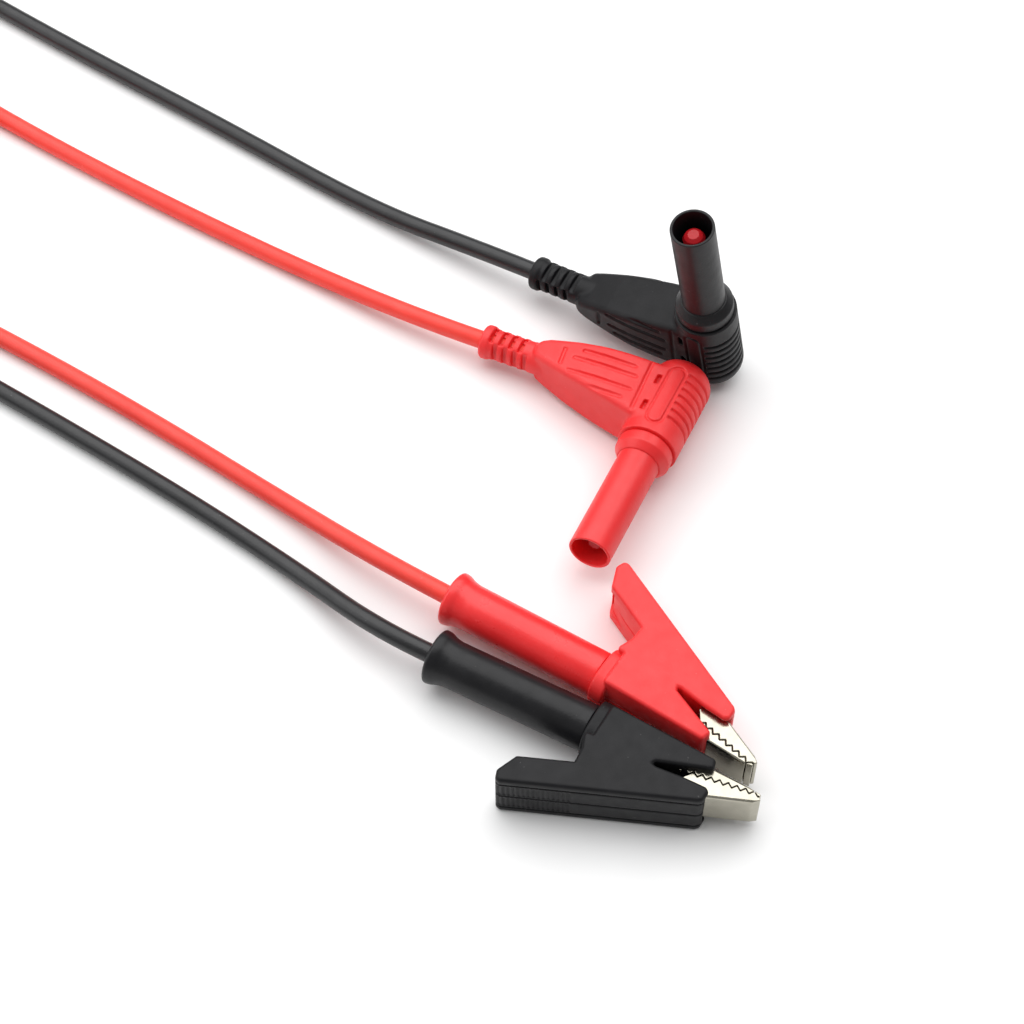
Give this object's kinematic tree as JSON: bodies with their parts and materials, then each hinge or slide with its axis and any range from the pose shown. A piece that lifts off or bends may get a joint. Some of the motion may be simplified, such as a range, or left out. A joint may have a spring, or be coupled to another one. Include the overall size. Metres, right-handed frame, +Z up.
{
  "type": "alligator clip lead",
  "caption": "Red and black silicone test leads, each with an insulated alligator clip on a round handle sleeve and a right-angle shrouded banana plug.",
  "frame": {"origin": "on the surface the leads lie on, under the middle of the box round both clips and both plugs", "axes": "+Z up from the surface, +Y away from the clips' jaws towards the plugs, +X to the side the jaws and plug heads point to; the cords leave towards -X"},
  "size_m": [0.2333, 0.2263, 0.0471],
  "materials": {
    "red_cover": "satin, fine grain",
    "red_handle": "soft gloss",
    "red_mould": "satin",
    "red_shroud": "satin",
    "red_cord": "silicone, soft sheen",
    "black_cover": "satin, fine grain",
    "black_handle": "soft gloss",
    "black_mould": "satin",
    "black_shroud": "satin",
    "black_cord": "silicone, soft sheen",
    "jaw": "bright nickel plate",
    "rivet": "nickel plate",
    "spring": "drawn wire",
    "conductor": "bare copper strands",
    "pin": "nickel-plated brass",
    "lantern": "gold-coloured beryllium copper",
    "core": "moulded",
    "pin_tip": "moulded"
  },
  "bodies": {
    "red_lead": {"red_cover_fixed_half": "red_cover", "red_handle_sleeve": "red_handle", "red_fixed_jaw": "jaw", "red_pivot_rivet": "rivet", "red_torsion_spring": "spring", "red_clip_cord_end": "red_cord", "red_clip_conductor": "conductor", "red_cord_clip_run": "red_cord", "red_cord_coil": "red_cord", "red_cord_plug_run": "red_cord", "red_plug_body": "red_mould", "red_shroud": "red_shroud", "red_plug_core": "core", "red_contact_pin": "pin", "red_pin_spring": "lantern", "red_pin_tip": "pin_tip", "red_plug_conductor": "conductor", "red_plug_cord_end": "red_cord"},
    "red_jaw": {"red_cover_lever_half": "red_cover", "red_moving_jaw": "jaw"},
    "black_lead": {"black_cover_fixed_half": "black_cover", "black_handle_sleeve": "black_handle", "black_fixed_jaw": "jaw", "black_pivot_rivet": "rivet", "black_torsion_spring": "spring", "black_clip_cord_end": "black_cord", "black_clip_conductor": "conductor", "black_cord_clip_run": "black_cord", "black_cord_coil": "black_cord", "black_cord_plug_run": "black_cord", "black_plug_body": "black_mould", "black_shroud": "black_shroud", "black_plug_core": "core", "black_contact_pin": "pin", "black_pin_spring": "lantern", "black_pin_tip": "pin_tip", "black_plug_conductor": "conductor", "black_plug_cord_end": "black_cord"},
    "black_jaw": {"black_cover_lever_half": "black_cover", "black_moving_jaw": "jaw"}
  },
  "joints": [
    {"name": "black_lead_lift", "type": "slide", "parent": "red_lead", "child": "black_lead", "axis": [0, 0, 1], "range_m": [0, 0.15]},
    {"name": "red_jaw_hinge", "type": "hinge", "parent": "red_lead", "child": "red_jaw", "pos_m": [0.01171, -0.03202, 0.0057], "axis": [0, 0, 1], "range_deg": [0, 25], "stiffness_Nm_per_rad": 0.02, "springref_deg": -28.65, "deforming": ["red_torsion_spring"]},
    {"name": "black_jaw_hinge", "type": "hinge", "parent": "black_lead", "child": "black_jaw", "pos_m": [0.00372, -0.05153, 0.0057], "axis": [0, 0, -1], "range_deg": [0, 25], "stiffness_Nm_per_rad": 0.02, "springref_deg": -28.65, "deforming": ["black_torsion_spring"]}
  ]
}
